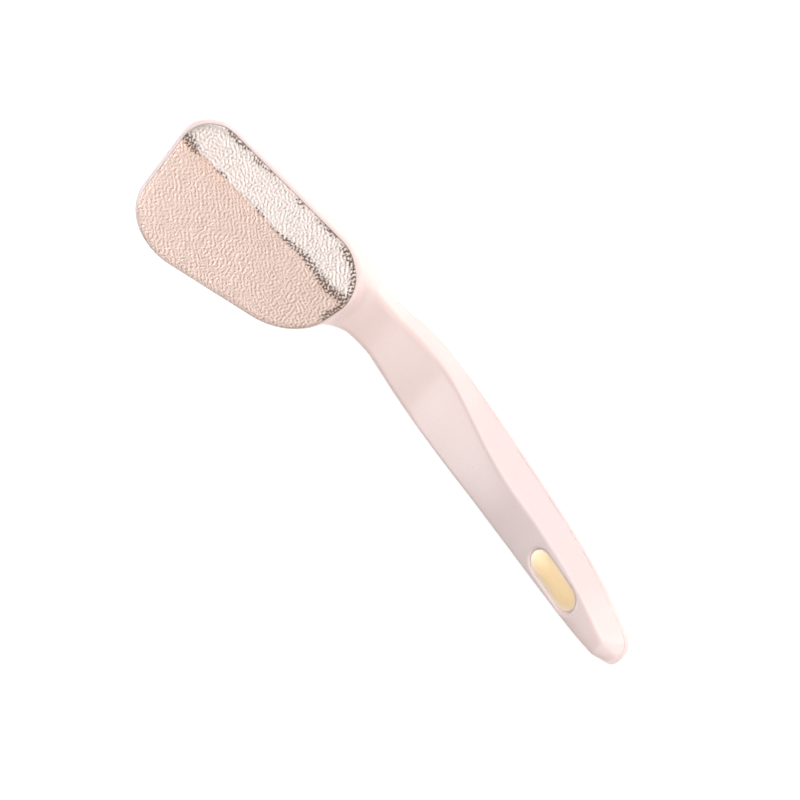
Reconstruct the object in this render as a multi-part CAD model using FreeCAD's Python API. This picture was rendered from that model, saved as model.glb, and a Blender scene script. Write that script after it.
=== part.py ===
import FreeCAD, Part
import math
import os

V = FreeCAD.Vector

# ---------------------------------------------------------------- driving dimensions (mm, degrees)
X_SHIFT = 36.16           # moves the neck-based stations so that the origin is under the middle of the length
HEAD_TILT = 27.3          # the abrasive face rises from the handle line by this angle
HEAD_NEAR_X = 2.0         # station of the near edge of the abrasive face, in the middle of the width
HEAD_NEAR_Z = 19.35       # its height over the flat underside
HEAD_LEN = 66.0           # nominal length of the abrasive face
# The outline of the abrasive face wraps four corner circles: along the face from its near edge,
# to the left of the middle line, radius. In order: near left, far left, far right, near right.
HEAD_CORNERS = [
    (19.4, 2.15, 20.95),
    (47.3, 7.95, 18.25),
    (56.8, -17.05, 9.65),
    (13.1, -2.75, 15.9),
]
FOLD_NEAR_Y = -3.65       # the fold line crosses the near edge here
FOLD_FAR_Y = -16.75       # and the far edge here
FOLD_ANGLE = 16.0         # the narrow strip slopes down from the main face by this angle
FOLD_R = 5.0              # bend radius of the fold
RIM = 0.8                 # plastic rim that shows round the plate
WALL_NEAR = 8.7           # depth of the widest line of the head under the main face, handle end
WALL_FAR = 4.0            # the same at the far end
WALL_OUT = 0.9            # draft of the head's side wall down to the widest line
BELLY_NEAR = 13.2         # depth of the head's underside, handle end
BELLY_FAR = 6.2           # the same at the far end
BELLY_IN = 6.5            # how far the underside is drawn in from the widest line
PART_UP = 0.8             # the shells part this far above the widest line
SKIN = 3.3                # wall thickness of the handle mouldings
HEAD_SKIN = 1.8           # wall thickness of the head mouldings
ADHESIVE_T = 0.2          # film under the file plate
PLATE_T = 0.45            # etched steel sheet
BADGE_X = -105.0          # station of the middle of the oval recess
BADGE_L = 21.6            # badge length
BADGE_W = 9.2             # badge width
BADGE_GAP = 0.45          # gap all round the badge in its recess
BADGE_FLOOR = 9.15        # height of the recess floor
BADGE_GLUE_T = 0.1
BADGE_FOIL_T = 0.3
BADGE_DOME_T = 1.05       # crown height of the clear dome
PIN_D = 2.4               # locating pins in the lower moulding
PIN_CLEAR = 0.05          # radial clearance of a pin in its boss
BOSS_D = 5.2
FLAT_CUT = 0.2            # taken off the underside to leave it truly flat

# Handle stations from the tail (negative) to the root of the head. Each row holds
# x, half width of the top face, its height, half width at the widest line, its height,
# half width of the underside, its height.
STATIONS = [
    (-136.6, 1.2, 7.2, 3.0, 5.8, 1.4, 4.0),
    (-135.2, 1.9, 8.9, 4.7, 5.5, 2.8, 3.1),
    (-132.4, 2.6, 10.8, 6.2, 4.8, 4.1, 2.1),
    (-128.0, 3.4, 12.0, 7.0, 4.1, 5.0, 1.2),
    (-122.0, 4.5, 11.7, 7.7, 3.5, 5.7, 0.4),
    (-114.0, 5.6, 11.2, 8.9, 2.6, 6.8, 0.0),
    (-104.0, 6.4, 10.8, 10.1, 2.0, 7.8, 0.0),
    (-90.0, 7.0, 10.8, 11.2, 2.0, 8.8, 0.0),
    (-75.0, 7.3, 11.2, 11.8, 2.0, 9.3, 0.0),
    (-63.0, 8.3, 10.85, 12.15, 2.0, 9.6, 0.0),
    (-51.0, 9.9, 9.85, 12.4, 2.0, 9.7, 0.0),
    (-42.0, 11.0, 9.0, 12.5, 2.1, 9.7, 0.0),
    (-34.0, 11.6, 8.5, 12.4, 2.3, 9.5, 0.0),
    (-26.0, 11.3, 8.75, 12.1, 2.7, 9.2, 0.0),
    (-19.0, 10.6, 9.1, 11.4, 3.5, 8.3, 0.0),
    (-12.0, 10.0, 9.7, 10.1, 5.1, 6.4, 0.0),
    (-4.0, 10.5, 11.3, 10.4, 8.0, 4.9, 0.0),
    (1.0, 12.4, 13.1, 12.0, 10.0, 5.6, 2.7),
    (6.0, 12.9, 15.4, 12.5, 11.8, 5.8, 6.9),
    (12.0, 12.6, 18.6, 12.3, 15.0, 6.0, 12.0),
]

# ---------------------------------------------------------------- helpers
CT, ST = math.cos(math.radians(HEAD_TILT)), math.sin(math.radians(HEAD_TILT))


def head_point(u, v, n):
    """A point of the head: u along the face from its near edge, v to the left, n out of the face."""
    return V(HEAD_NEAR_X + u * CT - n * ST + X_SHIFT, v, HEAD_NEAR_Z + u * ST + n * CT)


def outline(grow):
    """The outline of the head grown outwards by grow: for each corner circle, its arc's start, middle and end in u, v."""
    circles = [(u, v, r + grow) for u, v, r in HEAD_CORNERS]
    normals = []
    for i in range(4):
        a, b = circles[i], circles[(i + 1) % 4]
        du, dv = b[0] - a[0], b[1] - a[1]
        span = math.hypot(du, dv)
        du, dv = du / span, dv / span
        along = (a[2] - b[2]) / span
        out = math.sqrt(1.0 - along * along)
        normals.append((along * du - out * dv, along * dv + out * du))
    pieces = []
    for i in range(4):
        u, v, r = circles[i]
        n0, n1 = normals[i - 1], normals[i]
        mu, mv = n0[0] + n1[0], n0[1] + n1[1]
        ln = math.hypot(mu, mv)
        pieces.append(((u + r * n0[0], v + r * n0[1]), (u + r * mu / ln, v + r * mv / ln), (u + r * n1[0], v + r * n1[1])))
    return pieces


def head_wire(grow, near, far):
    """The head outline grown by grow, on a plane that lies near and far under the face at its two ends."""
    def at(p):
        return head_point(p[0], p[1], -(near + (far - near) * p[0] / HEAD_LEN))

    pieces = outline(grow)
    edges = []
    for i, (start, mid, end) in enumerate(pieces):
        edges.append(Part.Arc(at(start), at(mid), at(end)).toShape())
        nxt = pieces[(i + 1) % 4][0]
        edges.append(Part.LineSegment(at(end), at(nxt)).toShape())
    return Part.Wire(Part.__sortEdges__(edges))


def section_wire(row, inset=0.0, floor=0.0):
    """One six-cornered cross-section of the handle, drawn in by inset."""
    x, wt, zt, wp, zp, wb, zb = row
    if inset:
        wt, wp, wb = wt - inset * 0.75, wp - inset * 1.1, wb - inset * 0.75
        zt, zb = zt - inset, zb + floor
        zp = min(max(zp, zb + 0.3), zt - 0.3)
    elif zb == 0.0:
        zb = -FLAT_CUT
    pts = [(wt, zt), (wp, zp), (wb, zb), (-wb, zb), (-wp, zp), (-wt, zt)]
    pts = [V(x + X_SHIFT, y, z) for y, z in pts]
    return Part.makePolygon(pts + [pts[0]])


def half_space(through, normal, size=400.0):
    """A big solid that lies on the far side of a plane from its normal."""
    n = V(normal)
    n.normalize()
    face = Part.makePlane(size, size, V(0, 0, 0), V(0, 0, 1))
    face.translate(V(-size / 2, -size / 2, 0))
    face.Placement = FreeCAD.Placement(through, FreeCAD.Rotation(V(0, 0, 1), n)).multiply(face.Placement)
    return face.extrude(n * -size)


def largest(shape):
    """The one solid of a boolean result, without loose scraps."""
    return sorted(shape.Solids, key=lambda s: s.Volume)[-1]


def obround(length, width, z0, height):
    """An upright obround block on the handle's middle line at the badge station."""
    r = width / 2
    half = length / 2 - r
    cx = BADGE_X + X_SHIFT
    edges = [
        Part.LineSegment(V(cx - half, -r, z0), V(cx + half, -r, z0)).toShape(),
        Part.Arc(V(cx + half, -r, z0), V(cx + half + r, 0, z0), V(cx + half, r, z0)).toShape(),
        Part.LineSegment(V(cx + half, r, z0), V(cx - half, r, z0)).toShape(),
        Part.Arc(V(cx - half, r, z0), V(cx - half - r, 0, z0), V(cx - half, -r, z0)).toShape(),
    ]
    return Part.Face(Part.Wire(edges)).extrude(V(0, 0, height))


# ---------------------------------------------------------------- the two slopes of the abrasive face
fold_a = (0.0, FOLD_NEAR_Y)
fold_b = (HEAD_LEN, FOLD_FAR_Y)
fold_dir = V(fold_b[0] - fold_a[0], fold_b[1] - fold_a[1], 0)
fold_dir.normalize()
# in the head's own axes: across the fold, pointing to the strip
across = V(fold_dir.y, -fold_dir.x, 0)
fa = math.radians(FOLD_ANGLE)
strip_n = across * math.sin(fa) + V(0, 0, math.cos(fa))


def head_dir(vec):
    """A direction given in the head's own axes, in the part's axes."""
    return V(vec.x * CT - vec.z * ST, vec.y, vec.x * ST + vec.z * CT)


def under_face(grow, lift):
    """Everything inside the outline grown by grow and under the face lifted by lift, with the fold rounded."""
    block = Part.Face(head_wire(grow, 30.0, 30.0)).extrude(head_dir(V(0, 0, 40.0)))
    main_n = head_dir(V(0, 0, 1))
    block = block.common(half_space(head_point(0, 0, lift), main_n))
    through = head_point(fold_a[0], fold_a[1], 0) + head_dir(strip_n) * lift
    block = largest(block.common(half_space(through, head_dir(strip_n))))
    want = head_dir(fold_dir)
    best = None
    for edge in block.Edges:
        if edge.Length < HEAD_LEN * 0.6 or edge.Curve.TypeId != "Part::GeomLine":
            continue
        d = edge.Curve.Direction
        if abs(abs(d.dot(want)) - 1.0) < 1e-4:
            best = edge
    return largest(block.makeFillet(FOLD_R + lift, [best]))


deck_under = under_face(8.0, 0.0)
glue_under = under_face(0.0, ADHESIVE_T)
plate_under = under_face(0.0, ADHESIVE_T + PLATE_T)
deck_trim = under_face(0.0, 0.0)

plate_adhesive = largest(glue_under.cut(deck_trim))
file_plate = largest(plate_under.cut(glue_under))

# ---------------------------------------------------------------- outer form of the plastic body
hull_top = head_wire(RIM, -1.0, -1.0)
hull_deck = head_wire(RIM, 0.0, 0.0)
hull_wide = head_wire(RIM + WALL_OUT, WALL_NEAR, WALL_FAR)
hull_belly = head_wire(RIM + WALL_OUT - BELLY_IN, BELLY_NEAR, BELLY_FAR)
hull = Part.makeLoft([hull_deck, hull_wide, hull_belly], True, True)
hull = largest(hull.common(deck_under))

grip = Part.makeLoft([section_wire(r) for r in STATIONS], True, False)
grip = largest(grip.common(half_space(V(0, 0, 0), V(0, 0, -1))))
# the neck stops under the abrasive face
over_neck = Part.makeBox(80.0, 120.0, 60.0, V(1.0, -60.0, -4.4))
over_neck.Placement = FreeCAD.Placement(head_point(0, 0, 0), FreeCAD.Rotation(V(0, 1, 0), -HEAD_TILT)).multiply(over_neck.Placement)
grip = largest(grip.cut(over_neck))
body = largest(hull.fuse(grip).removeSplitter())

# ---------------------------------------------------------------- hollows
cavity_rows = [r for r in STATIONS if -126.0 <= r[0] <= -30.0]
grip_cavity = Part.makeLoft([section_wire(r, SKIN, SKIN) for r in cavity_rows], True, True)
# a web stays under the badge recess, and the badge floor stays whole
web = Part.makeBox(2.0, 40.0, 30.0, V(BADGE_X + 16.0 + X_SHIFT, -20.0, 0.0))
bridge = Part.makeBox(BADGE_L + 8.0, 40.0, 10.0,
                      V(BADGE_X - BADGE_L / 2 - 4.0 + X_SHIFT, -20.0, BADGE_FLOOR - SKIN + 0.6))
grip_cavity = grip_cavity.cut(bridge)

inner_deck = head_wire(RIM - HEAD_SKIN, HEAD_SKIN, HEAD_SKIN)
inner_wide = head_wire(RIM + WALL_OUT - HEAD_SKIN, WALL_NEAR, WALL_FAR)
inner_belly = head_wire(RIM + WALL_OUT - BELLY_IN - HEAD_SKIN * 0.8, BELLY_NEAR - HEAD_SKIN, BELLY_FAR - HEAD_SKIN + 0.1)
head_cavity = Part.makeLoft([inner_deck, inner_wide, inner_belly], True, True)
shift_in = head_dir(V(0, 0, -HEAD_SKIN))
under_strip = deck_under.copy()
under_strip.translate(shift_in)
head_cavity = largest(head_cavity.common(under_strip))
# the handle end of the head stays solid, where the neck runs in, and so does the thin far end
head_cavity = head_cavity.common(half_space(head_point(56.0, 0, 0), head_dir(V(1, 0, 0))))
head_cavity = largest(head_cavity.common(half_space(head_point(9.0, 0, 0), head_dir(V(-1, 0, 0)))))

# ---------------------------------------------------------------- parting of the two mouldings
part_pts = [V(r[0] + X_SHIFT, 0, r[4] + PART_UP) for r in STATIONS if r[0] < 0.0]
for u in (2.0, 20.0, 40.0, 70.0):
    depth = WALL_NEAR + (WALL_FAR - WALL_NEAR) * u / HEAD_LEN - PART_UP
    part_pts.append(head_point(u, 0, -depth))
part_pts = [V(-160.0 + X_SHIFT, 0, part_pts[0].z + 3.0)] + part_pts
last = part_pts[-1]
part_pts.append(last + head_dir(V(20.0, 0, 0.0)))
curve = Part.BSplineCurve()
curve.interpolate(part_pts)
p0, p1 = part_pts[0], part_pts[-1]
roof = 140.0
above_face = Part.Face(Part.Wire([
    curve.toShape(),
    Part.LineSegment(p1, V(p1.x, 0, roof)).toShape(),
    Part.LineSegment(V(p1.x, 0, roof), V(p0.x, 0, roof)).toShape(),
    Part.LineSegment(V(p0.x, 0, roof), p0).toShape(),
]))
above = above_face.extrude(V(0, 120.0, 0))
above.translate(V(0, -60.0, 0))

hollow = body.cut(grip_cavity).cut(head_cavity)
upper = largest(hollow.common(above))
lower = largest(hollow.cut(above))

# ---------------------------------------------------------------- locating pins and their bosses
pin_spots = [(-119.0, 0.0), (-88.0, 0.0), (-62.0, 0.0), (-38.0, 0.0)]
for px, py in pin_spots:
    x = px + X_SHIFT
    boss = Part.makeCylinder(BOSS_D / 2, 60.0, V(x, py, 0.0)).common(body).common(above)
    hole = Part.makeCylinder(PIN_D / 2 + PIN_CLEAR, 60.0, V(x, py, -1.0))
    top = 7.0
    hole = hole.common(Part.makeBox(20, 20, top, V(x - 10, py - 10, 0.0)))
    pin = Part.makeCylinder(PIN_D / 2, top - 0.3 - 1.0, V(x, py, 1.0))
    upper = largest(upper.fuse(boss).cut(hole))
    lower = largest(lower.fuse(pin))
# the head has a pair of pins square to its face
for u, v in ((33.0, 11.0), (33.0, -11.0)):
    base = head_point(u, v, -(BELLY_NEAR + (BELLY_FAR - BELLY_NEAR) * u / HEAD_LEN - 1.0))
    axis = head_dir(V(0, 0, 1))
    boss = Part.makeCylinder(BOSS_D / 2, 30.0, base, axis).common(body).common(above)
    depth = 5.6
    hole = Part.makeCylinder(PIN_D / 2 + PIN_CLEAR, depth, base, axis)
    pin = Part.makeCylinder(PIN_D / 2, depth - 0.3, base, axis).common(body)
    upper = largest(upper.fuse(boss).cut(hole))
    lower = largest(lower.fuse(pin))

# ---------------------------------------------------------------- oval badge in its recess
recess = obround(BADGE_L + 2 * BADGE_GAP, BADGE_W + 2 * BADGE_GAP, BADGE_FLOOR, 10.0)
upper = largest(upper.cut(recess))
badge_adhesive = obround(BADGE_L - 0.6, BADGE_W - 0.6, BADGE_FLOOR, BADGE_GLUE_T)
foil_z = BADGE_FLOOR + BADGE_GLUE_T
badge_foil = obround(BADGE_L, BADGE_W, foil_z, BADGE_FOIL_T)
dome_z = foil_z + BADGE_FOIL_T
# the dome is an obround block under a shallow crown, rounded across its width
crown_h = BADGE_DOME_T - 0.35
crown_r = (crown_h ** 2 + (BADGE_W / 2) ** 2) / (2 * crown_h)
cx = BADGE_X + X_SHIFT
crown = Part.makeCylinder(crown_r, BADGE_L + 20.0, V(cx - BADGE_L / 2 - 10.0, 0, dome_z + BADGE_DOME_T - crown_r), V(1, 0, 0))
end_r = (crown_h ** 2 + (BADGE_L / 2) ** 2) / (2 * crown_h)
ends = Part.makeCylinder(end_r, 40.0, V(cx, -20.0, dome_z + BADGE_DOME_T - end_r), V(0, 1, 0))
badge_dome = largest(obround(BADGE_L, BADGE_W, dome_z, BADGE_DOME_T + 1.0).common(crown).common(ends))

# ---------------------------------------------------------------- write the pieces
nodes = {
    "upper_shell": upper,
    "lower_shell": lower,
    "plate_adhesive": plate_adhesive,
    "file_plate": file_plate,
    "badge_adhesive": badge_adhesive,
    "badge_foil": badge_foil,
    "badge_dome": badge_dome,
}
os.makedirs("parts", exist_ok=True)
box = FreeCAD.BoundBox()
for name, shape in nodes.items():
    shape.exportStep("parts/" + name + ".step")
    box.add(shape.BoundBox)
    print(name, "valid", shape.isValid(), "solids", len(shape.Solids), "volume", round(shape.Volume, 2))
print("box", [round(v, 3) for v in (box.XMin, box.XMax, box.YMin, box.YMax, box.ZMin, box.ZMax)])
print("middle x", round((box.XMin + box.XMax) / 2, 4), "middle y", round((box.YMin + box.YMax) / 2, 4))
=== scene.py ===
import math

import bmesh
import bpy
import numpy as np
from mathutils import Matrix, Vector


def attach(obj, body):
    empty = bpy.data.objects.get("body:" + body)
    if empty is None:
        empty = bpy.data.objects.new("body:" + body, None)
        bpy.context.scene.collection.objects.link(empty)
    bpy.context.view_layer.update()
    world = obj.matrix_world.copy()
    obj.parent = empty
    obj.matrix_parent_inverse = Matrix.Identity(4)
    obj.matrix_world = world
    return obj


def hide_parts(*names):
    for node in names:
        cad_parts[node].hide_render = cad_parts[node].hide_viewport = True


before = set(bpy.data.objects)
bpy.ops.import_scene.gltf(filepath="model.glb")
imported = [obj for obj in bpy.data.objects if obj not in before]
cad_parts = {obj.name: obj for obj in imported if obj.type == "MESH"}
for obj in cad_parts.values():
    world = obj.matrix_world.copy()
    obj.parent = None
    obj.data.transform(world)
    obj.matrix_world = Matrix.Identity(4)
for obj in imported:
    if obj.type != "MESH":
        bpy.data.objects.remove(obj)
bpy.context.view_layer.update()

# ------------------------------------------------------------------ dimensions (mm), the same as the solids'
X_SHIFT = 36.16
HEAD_TILT = 27.3
HEAD_NEAR_X, HEAD_NEAR_Z, HEAD_LEN = 2.0, 19.35, 66.0
CORNERS = [(19.4, 2.15, 20.95), (47.3, 7.95, 18.25), (56.8, -17.05, 9.65), (13.1, -2.75, 15.9)]
FOLD_NEAR_Y, FOLD_FAR_Y, FOLD_ANGLE = -3.65, -16.75, 16.0
RIM = 0.8
WALL_NEAR, WALL_FAR, WALL_OUT = 8.7, 4.0, 0.9
BELLY_NEAR, BELLY_FAR, BELLY_IN = 13.2, 6.2, 6.5
PART_UP = 0.8
ADHESIVE_T, PLATE_T = 0.2, 0.45
BADGE_X, BADGE_L, BADGE_W, BADGE_GAP, BADGE_FLOOR = -105.0, 21.6, 9.2, 0.45, 9.15
DOME_Z, DOME_T = 9.55, 1.05
BADGE_LIP = 0.02
CROWN = 0.3
STATIONS = np.array([
    (-136.6, 1.2, 7.6, 3.0, 5.8, 1.4, 4.0),
    (-135.2, 1.9, 8.8, 4.7, 5.5, 2.8, 3.1),
    (-132.4, 2.6, 10.5, 6.2, 4.8, 4.1, 2.1),
    (-129.4, 3.2, 11.98, 6.8, 4.25, 4.8, 1.45),
    (-128.0, 3.4, 12.0, 7.0, 4.1, 5.0, 1.2),
    (-122.0, 4.5, 11.7, 7.7, 3.5, 5.7, 0.4),
    (-114.0, 5.6, 11.2, 8.9, 2.6, 6.8, 0.0),
    (-104.0, 6.4, 10.8, 10.1, 2.0, 7.8, 0.0),
    (-90.0, 7.0, 10.8, 11.2, 2.0, 8.8, 0.0),
    (-75.0, 7.3, 11.2, 11.8, 2.0, 9.3, 0.0),
    (-63.0, 8.3, 10.85, 12.15, 2.0, 9.6, 0.0),
    (-51.0, 9.9, 9.85, 12.4, 2.0, 9.7, 0.0),
    (-42.0, 11.0, 9.0, 12.5, 2.1, 9.7, 0.0),
    (-34.0, 11.6, 8.5, 12.4, 2.3, 9.5, 0.0),
    (-26.0, 11.3, 8.75, 12.1, 2.7, 9.2, 0.0),
    (-19.0, 10.6, 9.1, 11.4, 3.5, 8.3, 0.0),
    (-12.0, 10.0, 9.7, 10.1, 5.1, 6.4, 0.0),
    (-4.0, 10.5, 11.3, 10.4, 8.0, 4.9, 0.0),
    (1.0, 12.4, 13.1, 12.0, 10.0, 5.6, 2.7),
    (6.0, 12.9, 15.4, 12.5, 11.8, 5.8, 6.9),
    (12.0, 12.6, 18.6, 12.3, 15.0, 6.0, 12.0),
])
CT, ST = math.cos(math.radians(HEAD_TILT)), math.sin(math.radians(HEAD_TILT))
FA = math.radians(FOLD_ANGLE)


# ------------------------------------------------------------------ small numeric helpers
def pchip(xs, ys):
    """A smooth curve through points that never overshoots them."""
    h = np.diff(xs)
    dl = np.diff(ys) / h
    m = np.zeros(len(xs))
    for i in range(1, len(xs) - 1):
        if dl[i - 1] * dl[i] > 0:
            w1, w2 = 2 * h[i] + h[i - 1], h[i] + 2 * h[i - 1]
            m[i] = (w1 + w2) / (w1 / dl[i - 1] + w2 / dl[i])
    m[0], m[-1] = dl[0], dl[-1]

    def f(x):
        x = np.clip(x, xs[0], xs[-1])
        i = np.clip(np.searchsorted(xs, x) - 1, 0, len(xs) - 2)
        t = (x - xs[i]) / h[i]
        t2, t3 = t * t, t * t * t
        return ((2 * t3 - 3 * t2 + 1) * ys[i] + (t3 - 2 * t2 + t) * h[i] * m[i]
                + (3 * t2 - 2 * t3) * ys[i + 1] + (t3 - t2) * h[i] * m[i + 1])
    return f


def smax(a, b, r):
    h = np.clip(0.5 + 0.5 * (a - b) / r, 0, 1)
    return b * (1 - h) + a * h + r * h * (1 - h)


def smin(a, b, r):
    return -smax(-a, -b, r)


def smooth(x, lo, hi):
    t = np.clip((x - lo) / (hi - lo), 0, 1)
    return t * t * (3 - 2 * t)


# ------------------------------------------------------------------ outline of the head, in its own plane
EDGE_N = []
for i in range(4):
    a, b = CORNERS[i], CORNERS[(i + 1) % 4]
    du, dv = b[0] - a[0], b[1] - a[1]
    span = math.hypot(du, dv)
    du, dv = du / span, dv / span
    along = (a[2] - b[2]) / span
    out = math.sqrt(1 - along * along)
    EDGE_N.append((along * du - out * dv, along * dv + out * du))


def sd_outline(u, v):
    """Signed distance to the outline that wraps the four corner circles."""
    best = np.full(np.shape(u), -1e9)
    for i in range(4):
        cu, cv, r = CORNERS[i]
        n0, n1 = EDGE_N[i - 1], EDGE_N[i]
        best = np.maximum(best, (u - cu) * n1[0] + (v - cv) * n1[1] - r)
        pu, pv = u - cu, v - cv
        inside = (n0[0] * pv - n0[1] * pu <= 0) & (pu * n1[1] - pv * n1[0] <= 0) & (pu * (n0[0] + n1[0]) + pv * (n0[1] + n1[1]) > 0)
        best = np.where(inside, np.maximum(best, np.hypot(pu, pv) - r), best)
    return best


def outline_points(count, grow=0.0):
    """Evenly spaced points of the outline."""
    pts = []
    for i in range(4):
        cu, cv, r = CORNERS[i]
        a0 = math.atan2(EDGE_N[i - 1][1], EDGE_N[i - 1][0])
        a1 = math.atan2(EDGE_N[i][1], EDGE_N[i][0])
        while a1 > a0:
            a1 -= 2 * math.pi
        for t in np.linspace(0, 1, 80):
            a = a0 + (a1 - a0) * t
            pts.append((cu + (r + grow) * math.cos(a), cv + (r + grow) * math.sin(a)))
    pts = np.array(pts)[::-1]
    ring = np.vstack([pts, pts[:1]])
    s = np.concatenate([[0], np.cumsum(np.linalg.norm(np.diff(ring, axis=0), axis=1))])
    at = np.linspace(0, s[-1], count + 1)[:-1]
    return np.stack([np.interp(at, s, ring[:, 0]), np.interp(at, s, ring[:, 1])], 1)


fdir = np.array([HEAD_LEN, FOLD_FAR_Y - FOLD_NEAR_Y])
fdir /= np.linalg.norm(fdir)
ACROSS = np.array([fdir[1], -fdir[0]])


def fold_dist(u, v):
    """Distance past the fold line, positive on the strip."""
    return u * ACROSS[0] + (v - FOLD_NEAR_Y) * ACROSS[1]


def to_head(x, y, z):
    dx, dz = x - X_SHIFT - HEAD_NEAR_X, z - HEAD_NEAR_Z
    return dx * CT + dz * ST, y, -dx * ST + dz * CT


def from_head(u, v, n):
    return np.stack([HEAD_NEAR_X + u * CT - n * ST + X_SHIFT, v, HEAD_NEAR_Z + u * ST + n * CT], -1)


def face_height(u, v, lift, r=0.5):
    """Height of the folded face over the main plane."""
    s = fold_dist(u, v)
    slope = -s * math.tan(FA) + lift / math.cos(FA)
    return smin(np.full(np.shape(u), lift), slope, r)


# ------------------------------------------------------------------ the moulded body as one smooth implicit form
COLS = [pchip(STATIONS[:, 0], STATIONS[:, k]) for k in range(1, 7)]


def sd_hull(x, y, z):
    u, v, n = to_head(x, y, z)
    so = sd_outline(u, v)
    t = -n
    uc = np.clip(u, -6, HEAD_LEN + 6)
    dw = WALL_NEAR + (WALL_FAR - WALL_NEAR) * uc / HEAD_LEN
    db = BELLY_NEAR + (BELLY_FAR - BELLY_NEAR) * uc / HEAD_LEN
    k1 = WALL_OUT / dw
    wall = (so - RIM - k1 * t) / np.sqrt(1 + k1 * k1)
    k2 = BELLY_IN / (db - dw)
    belly = (so - RIM - WALL_OUT + k2 * (t - dw)) / np.sqrt(1 + k2 * k2)
    bottom = (t - db) / math.hypot(1, (BELLY_FAR - BELLY_NEAR) / HEAD_LEN)
    f = smax(wall, belly, 3.0)
    f = smax(f, bottom, 4.0)
    s = fold_dist(u, v)
    top = smax(n, s * math.sin(FA) + n * math.cos(FA), 0.8)
    return smax(f, top, 0.7)


def sd_grip(x, y, z):
    xs = x - X_SHIFT
    wt, zt, wp, zp, wb, zb = [c(xs) for c in COLS]
    ay = np.sqrt(y * y + 0.01)
    ridge = 0.9 + 3.2 * smooth(xs, -48, -16)
    wt, zt = wt + 0.25 * (ridge - 0.9), zt + 0.25 * (ridge - 0.9)
    top = z - zt + CROWN * (y / np.maximum(wt, 2.0)) ** 2
    l1 = np.hypot(wp - wt, zt - zp)
    side = ((ay - wp) * (zt - zp) + (z - zp) * (wp - wt)) / l1
    l2 = np.hypot(wp - wb, zp - zb)
    low = ((ay - wp) * (zp - zb) - (z - zp) * (wp - wb)) / l2
    f = smax(top, side, ridge)
    f = smax(f, low, 1.0)
    f = smax(f, zb - z, 1.0)
    f = smax(f, STATIONS[0, 0] + 0.6 - xs, 3.2)
    return smax(f, xs - STATIONS[-1, 0], 2.0)


def sd_obround(x, y, length, width):
    r = width / 2
    dx = np.maximum(np.abs(x - (BADGE_X + X_SHIFT)) - (length / 2 - r), 0)
    return np.hypot(dx, y) - r


def sd_body(x, y, z):
    f = smin(sd_hull(x, y, z), sd_grip(x, y, z), 5.0)
    wall = sd_obround(x, y, BADGE_L + 2 * BADGE_LIP, BADGE_W + 2 * BADGE_LIP) - 0.36 * np.maximum(z - BADGE_FLOOR - 0.8, 0)
    return smax(f, -smax(wall, BADGE_FLOOR - z, 0.15), 0.55)


def surface_nets(fn, lo, hi, h):
    n = [int(math.ceil((b - a) / h)) + 1 for a, b in zip(lo, hi)]
    ax = [lo[k] + h * np.arange(n[k]) for k in range(3)]
    F = np.empty(n, np.float32)
    for i in range(0, n[0], 8):
        X, Y, Z = np.meshgrid(ax[0][i:i + 8], ax[1], ax[2], indexing="ij")
        F[i:i + 8] = fn(X, Y, Z)
    S = F < 0
    tot = np.zeros([k - 1 for k in n], np.int8)
    for a in (0, 1):
        for b in (0, 1):
            for c in (0, 1):
                tot += S[a:n[0] - 1 + a, b:n[1] - 1 + b, c:n[2] - 1 + c]
    act = (tot > 0) & (tot < 8)
    cells = np.argwhere(act)
    idx = -np.ones(act.shape, np.int64)
    idx[act] = np.arange(len(cells))
    acc, cnt = np.zeros((len(cells), 3)), np.zeros(len(cells))
    ci, cj, ck = cells.T
    for p in [(a, b, c) for a in (0, 1) for b in (0, 1) for c in (0, 1)]:
        for k in range(3):
            if p[k]:
                continue
            q = list(p)
            q[k] = 1
            fa = F[ci + p[0], cj + p[1], ck + p[2]]
            fb = F[ci + q[0], cj + q[1], ck + q[2]]
            m = (fa < 0) != (fb < 0)
            pos = np.array(p, float)[None, :].repeat(len(cells), 0)
            pos[m, k] += fa[m] / (fa[m] - fb[m])
            acc[m] += pos[m]
            cnt[m] += 1
    V = np.array(lo) + (cells + acc / cnt[:, None]) * h
    quads = []
    for k in range(3):
        s0, s1 = [slice(None)] * 3, [slice(None)] * 3
        s0[k], s1[k] = slice(0, -1), slice(1, None)
        A, B = S[tuple(s0)], S[tuple(s1)]
        e = np.argwhere(A != B)
        o = [(1, 2), (2, 0), (0, 1)][k]
        sg = A[e[:, 0], e[:, 1], e[:, 2]]

        def cell(d0, d1):
            c = e.copy()
            c[:, o[0]] += d0
            c[:, o[1]] += d1
            return idx[c[:, 0], c[:, 1], c[:, 2]]
        q = np.stack([cell(-1, -1), cell(0, -1), cell(0, 0), cell(-1, 0)], 1)
        q[~sg] = q[~sg][:, ::-1]
        quads.append(q)
    return V, np.concatenate(quads)


def gradient(fn, P, e=0.02):
    G = np.empty_like(P)
    for k in range(3):
        A, B = P.copy(), P.copy()
        A[:, k] += e
        B[:, k] -= e
        G[:, k] = (fn(*A.T) - fn(*B.T)) / (2 * e)
    return G


def settle(fn, P, steps=3, limit=0.4):
    """Moves points on to the form's surface."""
    for _ in range(steps):
        f, G = fn(*P.T), gradient(fn, P)
        step = -(f / np.maximum((G * G).sum(1), 1e-6))[:, None] * G
        L = np.linalg.norm(step, axis=1)
        P = P + step * np.minimum(1, limit / np.maximum(L, 1e-9))[:, None]
    return P


def relax(P, Q, amount=0.5):
    """Evens out the net by drawing each point to the middle of its neighbours."""
    s, c = np.zeros_like(P), np.zeros(len(P))
    for a, b in ((0, 1), (1, 2), (2, 3), (3, 0)):
        for i, j in ((a, b), (b, a)):
            s += np.stack([np.bincount(Q[:, i], P[Q[:, j], k], len(P)) for k in range(3)], 1)
            c += np.bincount(Q[:, i], minlength=len(P))
    return P + amount * (s / np.maximum(c, 1)[:, None] - P)


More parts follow.
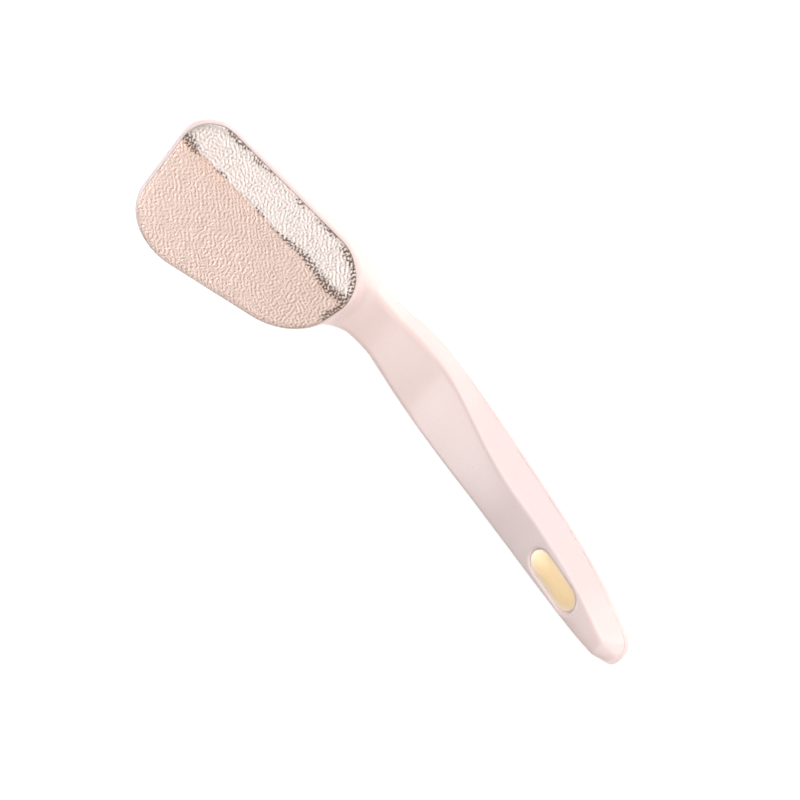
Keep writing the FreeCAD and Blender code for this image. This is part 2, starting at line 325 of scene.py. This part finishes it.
# ------------------------------------------------------------------ parting line of the two mouldings
pp = [(r[0], r[4] + PART_UP) for r in STATIONS if r[0] < 0.0]
for u in (2.0, 20.0, 40.0, 70.0):
    depth = WALL_NEAR + (WALL_FAR - WALL_NEAR) * u / HEAD_LEN - PART_UP
    p = from_head(np.array(u), np.array(0.0), np.array(-depth))
    pp.append((p[0] - X_SHIFT, p[2]))
pp = [(-160.0, pp[0][1] + 3.0)] + pp + [(pp[-1][0] + 20 * CT, pp[-1][1] + 20 * ST)]
PARTING = pchip(np.array([p[0] for p in pp]), np.array([p[1] for p in pp]))


def new_object(name, mesh):
    obj = bpy.data.objects.new(name, mesh)
    bpy.context.scene.collection.objects.link(obj)
    return obj


def build_shells():
    V, Q = surface_nets(sd_body, (-102.0, -30.0, -1.2), (103.0, 30.0, 52.0), 0.62)
    V = settle(sd_body, V, 3)
    for _ in range(4):
        V = settle(sd_body, relax(V, Q, 0.5), 2)
    flat = V.copy()
    flat[:, 2] -= PARTING(V[:, 0] - X_SHIFT)
    mesh = bpy.data.meshes.new("body_net")
    mesh.from_pydata(flat.tolist(), [], Q.tolist())
    bm = bmesh.new()
    bm.from_mesh(mesh)
    groove = 0.22
    for c in (-groove, 0.0, groove):
        bmesh.ops.bisect_plane(bm, geom=bm.verts[:] + bm.edges[:] + bm.faces[:], dist=1e-6,
                               plane_co=(0, 0, c), plane_no=(0, 0, 1))
    bmesh.ops.remove_doubles(bm, verts=bm.verts[:], dist=0.004)
    bm.to_mesh(mesh)
    bm.free()
    out = {}
    for name, sign in (("shell_upper", 1), ("shell_lower", -1)):
        bm = bmesh.new()
        bm.from_mesh(mesh)
        drop = [f for f in bm.faces if sign * f.calc_center_median().z < 0]
        bmesh.ops.delete(bm, geom=drop, context="FACES")
        lone = [v for v in bm.verts if not v.link_faces]
        bmesh.ops.delete(bm, geom=lone, context="VERTS")
        P = np.array([v.co[:] for v in bm.verts])
        P[:, 2] += PARTING(P[:, 0] - X_SHIFT)
        seam = np.array([v.is_boundary for v in bm.verts])
        P[~seam] = settle(sd_body, P[~seam], 1, 0.05)
        G = gradient(sd_body, P)
        G /= np.maximum(np.linalg.norm(G, axis=1), 1e-9)[:, None]
        P[seam] -= 0.2 * G[seam]
        for v, p in zip(bm.verts, P):
            v.co = p * 0.001
        edges = [e for e in bm.edges if e.is_boundary]
        res = bmesh.ops.triangle_fill(bm, use_beauty=False, use_dissolve=False, edges=edges)
        bmesh.ops.recalc_face_normals(bm, faces=bm.faces[:])
        for f in bm.faces:
            f.smooth = True
        for f in res["geom"]:
            if isinstance(f, bmesh.types.BMFace):
                f.smooth = False
                for e in f.edges:
                    if any(not g.smooth for g in e.link_faces) and any(g.smooth for g in e.link_faces):
                        e.smooth = False
        m = bpy.data.meshes.new(name)
        bm.to_mesh(m)
        open_edges = sum(1 for e in bm.edges if not e.is_manifold)
        bm.free()
        print(name, len(m.vertices), "verts", open_edges, "open edges")
        out[name] = new_object(name, m)
    bpy.data.meshes.remove(mesh)
    return out


# ------------------------------------------------------------------ the etched steel plate
def ripple_field(seed, angle, pitch, spread, u, v, waves=42):
    """Wavy broken ridges: many waves of one pitch, in nearly one direction."""
    rng = np.random.default_rng(seed)
    f = np.zeros(np.shape(u))
    for _ in range(waves):
        a = angle + rng.normal(0, spread)
        k = 2 * math.pi / (pitch * (1 + np.clip(rng.normal(0, 0.20), -0.4, 0.6)))
        f += np.cos(k * (u * math.cos(a) + v * math.sin(a)) + rng.uniform(0, 2 * math.pi))
    return f / math.sqrt(waves / 2)


def lumps(seed, scale, u, v, waves=24):
    """Soft random patches of about the given size."""
    rng = np.random.default_rng(seed)
    f = np.zeros(np.shape(u))
    for _ in range(waves):
        a, k = rng.uniform(0, 2 * math.pi), 2 * math.pi / (scale * rng.uniform(0.7, 1.6))
        f += np.cos(k * (u * math.cos(a) + v * math.sin(a)) + rng.uniform(0, 2 * math.pi))
    return f / math.sqrt(waves / 2)


BUMP = 0.094


def plate_relief(u, v):
    s = fold_dist(u, v)
    side = smooth(s, -0.8, 0.8)
    turn = smooth(u, 10.0, 30.0)
    main = (ripple_field(11, math.radians(18), 1.18, 0.56, u, v) * turn
            + ripple_field(13, math.radians(10), 1.16, 0.50, u, v) * (1 - turn))
    swing = smooth(u, 14.0, 48.0)
    strip = (ripple_field(12, math.radians(45), 1.12, 0.60, u, v) * swing
             + ripple_field(14, math.radians(29), 1.12, 0.60, u, v) * (1 - swing))
    f = main * (1 - side) + strip * side + 0.28 * ripple_field(15, math.radians(20), 0.78, 0.9, u, v)
    return np.tanh(1.05 * (f + 0.3))


def build_plate():
    M, K = 1150, 148
    ring = outline_points(M)
    centre = np.array([33.0, -0.5])
    lift = ADHESIVE_T + PLATE_T
    low = ADHESIVE_T
    verts, relief, masks = [], [], []
    ts = np.linspace(0, 1, K + 1)[1:]
    U = centre[0] + ts[:, None] * (ring[:, 0] - centre[0])
    W = centre[1] + ts[:, None] * (ring[:, 1] - centre[1])
    inset = np.maximum(-sd_outline(U, W), 0)
    r = plate_relief(U, W)
    fade = smooth(inset, 0.25, 1.1)
    roll = 0.42
    edge = np.where(inset < roll, roll - np.sqrt(np.maximum(roll * roll - (roll - inset) ** 2, 0)), 0) * 0.85
    turn = 0.30 * (1 - smooth(inset, 0.0, 2.2))
    tall = BUMP * (1.22 - 0.30 * smooth(U, 4.0, 36.0))
    N = face_height(U, W, lift, 0.9) + tall * r * fade - edge - turn * 0.5
    top = from_head(U, W, N).reshape(-1, 3)
    mid_relief = plate_relief(np.array([centre[0]]), np.array([centre[1]]))
    apex = from_head(np.array([centre[0]]), np.array([centre[1]]), lift + BUMP * mid_relief)
    # underside rings follow the adhesive
    ts2 = np.array([1.0, 0.75, 0.5, 0.25])
    U2 = centre[0] + ts2[:, None] * (ring[:, 0] - centre[0])
    W2 = centre[1] + ts2[:, None] * (ring[:, 1] - centre[1])
    under = from_head(U2, W2, face_height(U2, W2, low, 0.3)).reshape(-1, 3)
    apex2 = from_head(np.array([centre[0]]), np.array([centre[1]]), np.array([low]))
    P = np.vstack([apex, top, under, apex2]) * 0.001
    faces = []
    a = np.arange(M)
    b = (a + 1) % M
    faces += [(0, 1 + i, 1 + j) for i, j in zip(a, b)]
    for k in range(K - 1):
        o0, o1 = 1 + k * M, 1 + (k + 1) * M
        faces += [(o0 + i, o1 + i, o1 + j, o0 + j) for i, j in zip(a, b)]
    rim = 1 + (K - 1) * M
    base = 1 + K * M
    faces += [(rim + i, base + i, base + j, rim + j) for i, j in zip(a, b)]
    for k in range(len(ts2) - 1):
        o0, o1 = base + k * M, base + (k + 1) * M
        faces += [(o0 + i, o1 + i, o1 + j, o0 + j) for i, j in zip(a, b)]
    o, tip = base + (len(ts2) - 1) * M, len(P) - 1
    faces += [(o + i, tip, o + j) for i, j in zip(a, b)]
    mesh = bpy.data.meshes.new("etched_plate")
    mesh.from_pydata(P.tolist(), [], faces)
    mesh.update()
    mesh.polygons.foreach_set("use_smooth", np.ones(len(mesh.polygons), bool))
    # surface masks: ridge height, dark residue in the pits along the fold and the rim, painted shadow along the sheet's
    # cut edge, painted shade beside the fold, the strip that gets a painted highlight
    uu = np.concatenate([[centre[0]], U.ravel(), U2.ravel(), [centre[0]]])
    vv = np.concatenate([[centre[1]], W.ravel(), W2.ravel(), [centre[1]]])
    hh = np.concatenate([mid_relief, r.ravel(), np.zeros(U2.size + 1)])
    s = fold_dist(uu, vv)
    ins = np.maximum(-sd_outline(uu, vv), 0)
    along = uu / HEAD_LEN
    patch = lumps(31, 7.0, uu, vv)
    fine = lumps(32, 1.0, uu, vv)
    # residue along the fold, patchy, spreading out at both ends of the line
    far_end = smooth(along, 0.86, 0.97)
    near_end = 1 - smooth(along, 0.02, 0.34)
    drift = 0.45 * lumps(33, 14.0, uu, 0 * vv)
    off = s - 0.2 - drift
    worn = np.exp(-((along - 0.30) / 0.11) ** 2)
    specks = 0.30 * np.exp(-((along - 0.765) / 0.05) ** 2) + 0.15 * np.exp(-((along - 0.52) / 0.05) ** 2)
    width = np.where(off > 0, 1.0 + 2.6 * far_end + 2.3 * near_end + 0.8 * worn, 0.70 + 0.9 * far_end + 1.6 * near_end + 0.4 * worn)
    load = np.clip(0.62 + 0.50 * far_end + 0.40 * near_end + 0.48 * worn + 1.2 * specks + 0.14 * patch, 0, 1.15)
    fold_band = np.exp(-(off / width) ** 2) * load
    # residue along the right edge
    right = smooth(s, 3.0, 6.0) * smooth(along, 0.03, 0.15) * (1 - smooth(along, 0.90, 1.0))
    right_band = np.exp(-(np.maximum(ins - 0.3, 0) / 1.7) ** 2) * right * np.clip(0.62 + 0.20 * patch, 0, 0.95)
    # a thick dark rim at the handle end
    near = (1 - smooth(uu, 5.0, 16.0)) * smooth(vv, -25, -14) * (1 - smooth(vv, 2, 13))
    near_band = (1 - smooth(ins, 1.0, 3.6 + 0.6 * patch)) * np.clip(1.3 * near, 0, 1.0)
    # small marks along the rest of the edge
    rest_band = np.exp(-(ins / 0.9) ** 2) * np.clip(0.22 + 0.26 * patch, 0, 0.6)
    # a thin dark line round the sheet's cut edge, strongest at the handle end: painted shadow in the gap between sheet
    # and plastic
    low_edge = (1 - smooth(uu, 8.0, 34.0)) * 0.40
    edge_gap_shadow = (1 - smooth(ins, 0.05, 0.42 + 0.9 * low_edge)) * (0.24 + low_edge + 0.12 * patch)
    fold_line = np.exp(-((s - 0.15) / 0.38) ** 2) * np.clip(0.40 + 0.16 * patch, 0.15, 0.7)
    dark = np.clip(np.maximum(np.maximum(fold_band, right_band), np.maximum(near_band, rest_band)), 0, 1.0)
    spots = lumps(34, 0.95, uu, vv)
    pits = np.clip(0.42 - 0.20 * hh + 0.17 * fine + 0.20 * spots, 0, 1)
    speck = smooth(dark * (0.36 + pits), 0.36, 0.90)
    stain = 0.10 * smooth(dark, 0.10, 0.7)
    # dark residue in the pits and along the fold, plus the painted gap shadow at the cut edge
    residue_and_gap_shadow = np.clip(np.maximum(np.maximum(speck, edge_gap_shadow), np.maximum(stain, fold_line * (0.5 + 0.9 * pits))), 0, 1)
    # painted shade: the main face darkens towards the fold, more towards the far end
    shade = np.exp(-np.maximum(-s, 0) / 3.6) * (1 - smooth(s, -0.3, 0.5)) * (0.40 + 0.60 * smooth(along, 0.35, 0.85))
    # the strip beyond the fold takes the paler steel colour, a painted highlight
    strip_sheen_mask = smooth(s, -0.4, 0.9)
    col = np.stack([0.5 + 0.5 * hh, residue_and_gap_shadow, np.clip(shade, 0, 1), strip_sheen_mask], 1).astype(np.float32)
    att = mesh.color_attributes.new("etch_and_shade", "FLOAT_COLOR", "POINT")
    att.data.foreach_set("color", col.ravel())
    return new_object("etched_plate", mesh)


# ------------------------------------------------------------------ the domed badge
def build_dome():
    M, K = 220, 26
    r = BADGE_W / 2
    half = BADGE_L / 2 - r
    pts = []
    for k in range(M):
        a = 2 * math.pi * k / M
        c, s = math.cos(a), math.sin(a)
        pts.append((half * np.sign(c) * min(1.0, abs(c) * 6) + r * c, r * s))
    ring = np.array(pts)
    cx = BADGE_X + X_SHIFT
    rows = []
    for t in np.linspace(0.06, 1.0, K):
        # a shallow lens that meets the recess wall
        z = DOME_Z + 0.55 + (DOME_T - 0.55) * (1 - t ** 2.4)
        rows.append(np.column_stack([cx + ring[:, 0] * t, ring[:, 1] * t, np.full(M, z)]))
    rows.append(np.column_stack([cx + ring[:, 0], ring[:, 1], np.full(M, DOME_Z)]))
    P = np.vstack([[(cx, 0, DOME_Z + DOME_T)], np.vstack(rows), [(cx, 0, DOME_Z)]]) * 0.001
    # how far out towards the lens rim a point lies, set off to one side; it drives a painted highlight
    ahead = np.maximum(np.abs(P[:, 0] * 1000 - cx + 0.1) - half, 0)
    rim_highlight = np.hypot(ahead, P[:, 1] * 1000 + 0.45) / r
    a = np.arange(M)
    b = (a + 1) % M
    faces = [(0, 1 + i, 1 + j) for i, j in zip(a, b)]
    for k in range(len(rows) - 1):
        o0, o1 = 1 + k * M, 1 + (k + 1) * M
        faces += [(o0 + i, o1 + i, o1 + j, o0 + j) for i, j in zip(a, b)]
    o, tip = 1 + (len(rows) - 1) * M, len(P) - 1
    faces += [(o + i, tip, o + j) for i, j in zip(a, b)]
    mesh = bpy.data.meshes.new("badge_lens")
    mesh.from_pydata(P.tolist(), [], faces)
    mesh.polygons.foreach_set("use_smooth", np.ones(len(mesh.polygons), bool))
    mesh.update()
    att = mesh.attributes.new("rim_highlight", "FLOAT", "POINT")
    att.data.foreach_set("value", rim_highlight.astype(np.float32))
    return new_object("badge_lens", mesh)


# ------------------------------------------------------------------ materials
def material(name):
    mat = bpy.data.materials.new(name)
    mat.use_nodes = True
    nt = mat.node_tree
    nt.nodes.clear()
    out = nt.nodes.new("ShaderNodeOutputMaterial")
    bsdf = nt.nodes.new("ShaderNodeBsdfPrincipled")
    nt.links.new(bsdf.outputs["BSDF"], out.inputs["Surface"])
    return mat, nt, bsdf


def node(nt, kind, **values):
    n = nt.nodes.new(kind)
    for k, v in values.items():
        if k in n.inputs:
            n.inputs[k].default_value = v
        else:
            setattr(n, k, v)
    return n


def ramp(nt, stops):
    n = nt.nodes.new("ShaderNodeValToRGB")
    e = n.color_ramp.elements
    while len(e) < len(stops):
        e.new(0.5)
    for el, (pos, col) in zip(e, stops):
        el.position = pos
        el.color = (*col, 1.0)
    return n


def plastic():
    mat, nt, bsdf = material("satin_shell_plastic")
    tc = nt.nodes.new("ShaderNodeTexCoord")
    broad = node(nt, "ShaderNodeTexNoise", Scale=38.0, Detail=3.0, Roughness=0.55)
    grain = node(nt, "ShaderNodeTexNoise", Scale=1900.0, Detail=2.0, Roughness=0.6)
    nt.links.new(tc.outputs["Object"], broad.inputs["Vector"])
    nt.links.new(tc.outputs["Object"], grain.inputs["Vector"])
    xyz = nt.nodes.new("ShaderNodeSeparateXYZ")
    nt.links.new(tc.outputs["Object"], xyz.inputs["Vector"])
    span = node(nt, "ShaderNodeMapRange", **{"From Min": -0.100, "From Max": 0.100, "To Min": 0.0, "To Max": 1.0})
    nt.links.new(xyz.outputs["X"], span.inputs["Value"])
    # the colour along the handle's length is painted shade and light: darkest over the flat by the badge, lightest at
    # the neck
    lengthwise_shade_tint = ramp(nt, [(0.0, (0.810, 0.652, 0.622)), (0.065, (0.812, 0.656, 0.624)), (0.115, (0.730, 0.597, 0.575)), (0.24, (0.720, 0.600, 0.585)),
                     (0.45, (0.778, 0.618, 0.589)), (0.66, (0.874, 0.693, 0.652)), (1.0, (0.820, 0.690, 0.675))])
    nt.links.new(span.outputs["Result"], lengthwise_shade_tint.inputs["Fac"])
    cloud = node(nt, "ShaderNodeMix", data_type="RGBA", blend_type="MULTIPLY")
    cloud.inputs["Factor"].default_value = 1.0
    soft = ramp(nt, [(0.3, (0.965, 0.960, 0.962)), (0.7, (1.0, 1.0, 1.0))])
    nt.links.new(broad.outputs["Fac"], soft.inputs["Fac"])
    nt.links.new(lengthwise_shade_tint.outputs["Color"], cloud.inputs[6])
    nt.links.new(soft.outputs["Color"], cloud.inputs[7])
    nt.links.new(cloud.outputs[2], bsdf.inputs["Base Color"])
    rough = node(nt, "ShaderNodeMapRange", **{"From Min": 0.3, "From Max": 0.7, "To Min": 0.26, "To Max": 0.34})
    nt.links.new(grain.outputs["Fac"], rough.inputs["Value"])
    nt.links.new(rough.outputs["Result"], bsdf.inputs["Roughness"])
    bump = node(nt, "ShaderNodeBump", Strength=0.10, Distance=0.00006)
    nt.links.new(grain.outputs["Fac"], bump.inputs["Height"])
    nt.links.new(bump.outputs["Normal"], bsdf.inputs["Normal"])
    bsdf.inputs["IOR"].default_value = 1.49
    return mat


def etched_steel():
    mat, nt, bsdf = material("etched_steel")
    att = node(nt, "ShaderNodeAttribute", attribute_name="etch_and_shade")
    sep = nt.nodes.new("ShaderNodeSeparateColor")
    nt.links.new(att.outputs["Color"], sep.inputs["Color"])
    tc = nt.nodes.new("ShaderNodeTexCoord")
    fine = node(nt, "ShaderNodeTexNoise", Scale=2600.0, Detail=3.0, Roughness=0.6)
    nt.links.new(tc.outputs["Object"], fine.inputs["Vector"])
    # steel colour by ripple height: darker brown in the valleys, paler on the crests, a painted shade and highlight on
    # the ripples
    body = ramp(nt, [(0.0, (0.58, 0.380, 0.295)), (0.30, (0.775, 0.570, 0.485)), (0.70, (0.865, 0.660, 0.575)), (1.0, (0.95, 0.80, 0.735))])
    nt.links.new(sep.outputs["Red"], body.inputs["Fac"])
    # paler, less saturated copy of the steel for the strip beyond the fold: a painted highlight
    strip = ramp(nt, [(0.0, (0.62, 0.465, 0.395)), (0.30, (0.80, 0.680, 0.625)), (0.70, (0.875, 0.775, 0.730)), (1.0, (0.95, 0.89, 0.86))])
    nt.links.new(sep.outputs["Red"], strip.inputs["Fac"])
    two = node(nt, "ShaderNodeMix", data_type="RGBA")
    nt.links.new(att.outputs["Alpha"], two.inputs["Factor"])
    nt.links.new(body.outputs["Color"], two.inputs[6])
    nt.links.new(strip.outputs["Color"], two.inputs[7])
    # painted shade beside the fold, multiplied into the steel colour
    fold_shade_mix = node(nt, "ShaderNodeMix", data_type="RGBA", blend_type="MULTIPLY")
    fold_shade_mix.inputs[7].default_value = (0.93, 0.86, 0.82, 1.0)
    nt.links.new(sep.outputs["Blue"], fold_shade_mix.inputs["Factor"])
    nt.links.new(two.outputs[2], fold_shade_mix.inputs[6])
    # dark brown for the residue and for the painted gap shadow at the edge
    dark = node(nt, "ShaderNodeMix", data_type="RGBA")
    dark.inputs[7].default_value = (0.125, 0.076, 0.052, 1.0)
    nt.links.new(sep.outputs["Green"], dark.inputs["Factor"])
    nt.links.new(fold_shade_mix.outputs[2], dark.inputs[6])
    nt.links.new(dark.outputs[2], bsdf.inputs["Base Color"])
    metal = node(nt, "ShaderNodeMapRange", **{"From Min": 0.0, "From Max": 1.0, "To Min": 0.55, "To Max": 0.05})
    nt.links.new(sep.outputs["Green"], metal.inputs["Value"])
    nt.links.new(metal.outputs["Result"], bsdf.inputs["Metallic"])
    rough = node(nt, "ShaderNodeMapRange", **{"From Min": 0.3, "From Max": 0.7, "To Min": 0.31, "To Max": 0.43})
    nt.links.new(fine.outputs["Fac"], rough.inputs["Value"])
    nt.links.new(rough.outputs["Result"], bsdf.inputs["Roughness"])
    bump = node(nt, "ShaderNodeBump", Strength=0.12, Distance=0.00004)
    nt.links.new(fine.outputs["Fac"], bump.inputs["Height"])
    nt.links.new(bump.outputs["Normal"], bsdf.inputs["Normal"])
    return mat


def gold(name, coat):
    mat, nt, bsdf = material(name)
    tc = nt.nodes.new("ShaderNodeTexCoord")
    brush = node(nt, "ShaderNodeTexNoise", Scale=420.0, Detail=4.0, Roughness=0.6)
    squash = node(nt, "ShaderNodeMapping")
    squash.inputs["Scale"].default_value = (0.25, 1.6, 1.0)
    nt.links.new(tc.outputs["Object"], squash.inputs["Vector"])
    nt.links.new(squash.outputs["Vector"], brush.inputs["Vector"])
    col = ramp(nt, [(0.25, (0.97, 0.680, 0.360)), (0.55, (0.99, 0.735, 0.415)), (0.8, (1.0, 0.785, 0.475))])
    nt.links.new(brush.outputs["Fac"], col.inputs["Fac"])
    if coat:
        # paler cream towards the lens rim, more on one side: a painted highlight on the lens edge
        att = node(nt, "ShaderNodeAttribute", attribute_name="rim_highlight")
        rim = ramp(nt, [(0.58, (0.0, 0.0, 0.0)), (1.0, (1.0, 1.0, 1.0))])
        nt.links.new(att.outputs["Fac"], rim.inputs["Fac"])
        rim_highlight_mix = node(nt, "ShaderNodeMix", data_type="RGBA")
        rim_highlight_mix.inputs[7].default_value = (0.97, 0.830, 0.690, 1.0)
        nt.links.new(rim.outputs["Color"], rim_highlight_mix.inputs["Factor"])
        nt.links.new(col.outputs["Color"], rim_highlight_mix.inputs[6])
        nt.links.new(rim_highlight_mix.outputs[2], bsdf.inputs["Base Color"])
    else:
        nt.links.new(col.outputs["Color"], bsdf.inputs["Base Color"])
    rough = node(nt, "ShaderNodeMapRange", **{"From Min": 0.3, "From Max": 0.7, "To Min": 0.34, "To Max": 0.46})
    nt.links.new(brush.outputs["Fac"], rough.inputs["Value"])
    nt.links.new(rough.outputs["Result"], bsdf.inputs["Roughness"])
    bsdf.inputs["Metallic"].default_value = 0.12 if coat else 0.6
    if coat:
        bsdf.inputs["Coat Weight"].default_value = 0.5
        bsdf.inputs["Coat Roughness"].default_value = 0.16
    return mat


def film():
    mat, nt, bsdf = material("adhesive_film")
    tc = nt.nodes.new("ShaderNodeTexCoord")
    n = node(nt, "ShaderNodeTexNoise", Scale=900.0, Detail=2.0)
    nt.links.new(tc.outputs["Object"], n.inputs["Vector"])
    col = ramp(nt, [(0.3, (0.16, 0.125, 0.10)), (0.7, (0.26, 0.21, 0.17))])
    nt.links.new(n.outputs["Fac"], col.inputs["Fac"])
    nt.links.new(col.outputs["Color"], bsdf.inputs["Base Color"])
    bsdf.inputs["Roughness"].default_value = 0.6
    return mat


def floor_material():
    mat, nt, bsdf = material("studio_floor")
    tc = nt.nodes.new("ShaderNodeTexCoord")
    n = node(nt, "ShaderNodeTexNoise", Scale=6.0, Detail=2.0)
    nt.links.new(tc.outputs["Object"], n.inputs["Vector"])
    col = ramp(nt, [(0.3, (0.655, 0.652, 0.652)), (0.7, (0.665, 0.663, 0.662))])
    nt.links.new(n.outputs["Fac"], col.inputs["Fac"])
    nt.links.new(col.outputs["Color"], bsdf.inputs["Base Color"])
    bsdf.inputs["Roughness"].default_value = 0.9
    bsdf.inputs["Specular IOR Level"].default_value = 0.1
    bsdf.inputs["Emission Color"].default_value = (1.0, 1.0, 1.0, 1.0)
    bsdf.inputs["Emission Strength"].default_value = 0.56
    return mat


# ------------------------------------------------------------------ put the pieces together
shells = build_shells()
plate = build_plate()
dome = build_dome()

shell_mat, steel_mat = plastic(), etched_steel()
gold_mat, lens_mat, film_mat = gold("badge_gold", False), gold("badge_gold_domed", True), film()
for obj in shells.values():
    obj.data.materials.append(shell_mat)
plate.data.materials.append(steel_mat)
dome.data.materials.append(lens_mat)

for obj, node_name, slot_name in ((shells["shell_upper"], "upper_shell", "shell_plastic"),
                                  (shells["shell_lower"], "lower_shell", "shell_plastic"),
                                  (plate, "file_plate", "plate_steel"),
                                  (dome, "badge_dome", "badge_resin")):
    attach(obj, "root")
    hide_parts(node_name)

for node_name, mat in (("plate_adhesive", film_mat), ("badge_adhesive", film_mat), ("badge_foil", gold_mat)):
    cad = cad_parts[node_name]
    cad.data.materials.clear()
    cad.data.materials.append(mat)

# ------------------------------------------------------------------ stage: floor, light, camera
fm = bpy.data.meshes.new("floor")
fm.from_pydata([(-3, -3, 0), (3, -3, 0), (3, 3, 0), (-3, 3, 0)], [], [(0, 1, 2, 3)])
floor = new_object("floor", fm)
floor.data.materials.append(floor_material())

world = bpy.data.worlds.new("studio")
world.use_nodes = True
bg = world.node_tree.nodes["Background"]
bg.inputs["Color"].default_value = (1.0, 0.985, 0.98, 1.0)
bg.inputs["Strength"].default_value = 0.10
bpy.context.scene.world = world


def area(name, pos, aim, size, power, color=(1, 1, 1)):
    light = bpy.data.lights.new(name, "AREA")
    light.shape = "RECTANGLE"
    light.size, light.size_y = size
    light.energy = power
    light.color = color
    obj = bpy.data.objects.new(name, light)
    bpy.context.scene.collection.objects.link(obj)
    obj.location = pos
    obj.rotation_euler = (Vector(aim) - Vector(pos)).to_track_quat("-Z", "Y").to_euler()
    return obj


area("key", (0.05, -0.95, 0.48), (0, 0, 0.02), (1.3, 0.8), 11.8, (1.0, 0.985, 0.99))
area("fill", (-0.5, 0.5, 0.78), (0.03, 0, 0.03), (0.7, 0.7), 2.6)
area("tail_fill", (-0.95, -0.2, 0.45), (0.0, 0, 0.02), (0.9, 0.9), 4.8)
area("sheen", (0.160, 0.27, 0.30), (-0.01, 0, 0.01), (0.125, 0.16), 0.40)
area("far_rim", (0.25, 0.05, 0.15), (0.09, 0, 0.045), (0.12, 0.12), 0.18)

# camera: over the handle's right side, rolled so that the handle runs down to the right
d = np.array([-0.286, -0.643, 0.71])
d /= np.linalg.norm(d)
e_ax = np.array([1.0, 0, 0]) - d[0] * d
e_ax /= np.linalg.norm(e_ax)
q_ax = np.cross(d, e_ax)
ei = np.array([-0.573, -0.820])
ei /= np.linalg.norm(ei)
qi = np.array([ei[1], -ei[0]])
right = e_ax * ei[0] + q_ax * qi[0]
up = -(e_ax * ei[1] + q_ax * qi[1])
PX_PER_MM = 3.367
origin_px = np.array([365.0, 307.0]) - 20.5 * qi
rel = np.array([400.0, 400.0]) - origin_px
aim = np.array([X_SHIFT, 0, 0]) + e_ax * (rel @ ei) / PX_PER_MM + q_ax * (rel @ qi) / PX_PER_MM
aim = aim + d * (14.0 - aim @ d)
DIST = 6000.0
cam_data = bpy.data.cameras.new("camera")
cam_data.sensor_width = 36.0
cam_data.lens = PX_PER_MM * 36.0 * DIST / 800.0
cam_data.clip_end = 20.0
cam = bpy.data.objects.new("camera", cam_data)
bpy.context.scene.collection.objects.link(cam)
pos = (aim + d * DIST) * 0.001
cam.matrix_world = Matrix(((right[0], up[0], d[0], pos[0]), (right[1], up[1], d[1], pos[1]),
                           (right[2], up[2], d[2], pos[2]), (0, 0, 0, 1)))
bpy.context.scene.camera = cam
bpy.context.scene.view_settings.view_transform = "Standard"
bpy.context.scene.view_settings.look = "None"
